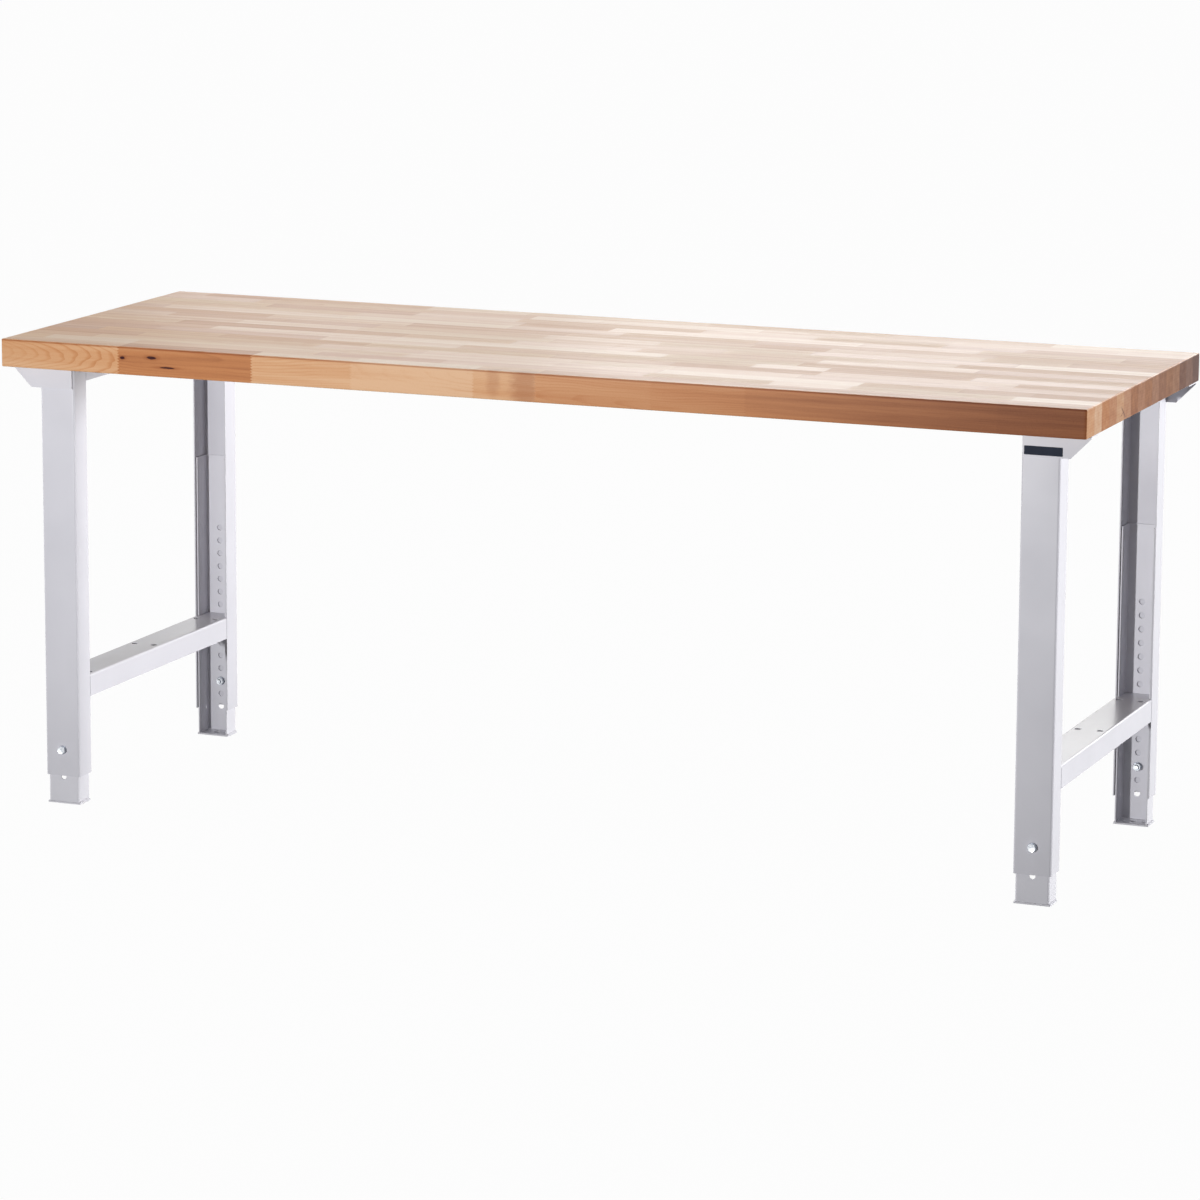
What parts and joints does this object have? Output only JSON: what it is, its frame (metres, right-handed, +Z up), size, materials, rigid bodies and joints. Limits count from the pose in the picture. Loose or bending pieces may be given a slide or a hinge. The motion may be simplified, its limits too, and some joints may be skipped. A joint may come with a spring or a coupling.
{
  "type": "workbench",
  "caption": "Workbench with a thick beech worktop on steel leg frames. Each leg telescopes on a bolted row of holes to set the working height, and the lower rails take a shelf.",
  "frame": {"origin": "on the floor, under the middle of the worktop", "axes": "+X along the worktop to its right end, +Y from front to rear, +Z up"},
  "size_m": [2, 0.7, 0.85],
  "materials": {
    "beech": "oiled, satin",
    "frame_paint": "light grey powder coat, satin",
    "foot_paint": "light grey powder coat, satin",
    "zinc": "zinc plated"
  },
  "bodies": {
    "bench": {"worktop": "beech", "left_front_upright": "frame_paint", "left_front_top_bracket": "frame_paint", "left_front_height_bolt": "zinc", "left_front_outer_washer": "zinc", "left_front_inner_washer": "zinc", "left_front_height_nut": "zinc", "left_front_bracket_screw": "zinc", "left_rear_upright": "frame_paint", "left_rear_top_bracket": "frame_paint", "left_rear_height_bolt": "zinc", "left_rear_outer_washer": "zinc", "left_rear_inner_washer": "zinc", "left_rear_height_nut": "zinc", "left_rear_bracket_screw": "zinc", "right_front_upright": "frame_paint", "right_front_top_bracket": "frame_paint", "right_front_height_bolt": "zinc", "right_front_outer_washer": "zinc", "right_front_inner_washer": "zinc", "right_front_height_nut": "zinc", "right_front_bracket_screw": "zinc", "right_rear_upright": "frame_paint", "right_rear_top_bracket": "frame_paint", "right_rear_height_bolt": "zinc", "right_rear_outer_washer": "zinc", "right_rear_inner_washer": "zinc", "right_rear_height_nut": "zinc", "right_rear_bracket_screw": "zinc", "left_lower_rail": "frame_paint", "left_top_rail": "frame_paint", "left_rail_front_screw": "zinc", "left_rail_rear_screw": "zinc", "right_lower_rail": "frame_paint", "right_top_rail": "frame_paint", "right_rail_front_screw": "zinc", "right_rail_rear_screw": "zinc"},
    "left_front_foot": {"left_front_foot_channel": "foot_paint", "left_front_foot_plate": "foot_paint"},
    "left_rear_foot": {"left_rear_foot_channel": "foot_paint", "left_rear_foot_plate": "foot_paint"},
    "right_front_foot": {"right_front_foot_channel": "foot_paint", "right_front_foot_plate": "foot_paint"},
    "right_rear_foot": {"right_rear_foot_channel": "foot_paint", "right_rear_foot_plate": "foot_paint"}
  },
  "joints": [
    {"name": "left_front_foot_slide", "type": "slide", "parent": "bench", "child": "left_front_foot", "axis": [0, 0, 1], "range_m": [-0.275, 0.025]},
    {"name": "left_rear_foot_slide", "type": "slide", "parent": "bench", "child": "left_rear_foot", "axis": [0, 0, 1], "range_m": [-0.275, 0.025]},
    {"name": "right_front_foot_slide", "type": "slide", "parent": "bench", "child": "right_front_foot", "axis": [0, 0, 1], "range_m": [-0.275, 0.025]},
    {"name": "right_rear_foot_slide", "type": "slide", "parent": "bench", "child": "right_rear_foot", "axis": [0, 0, 1], "range_m": [-0.275, 0.025]}
  ]
}
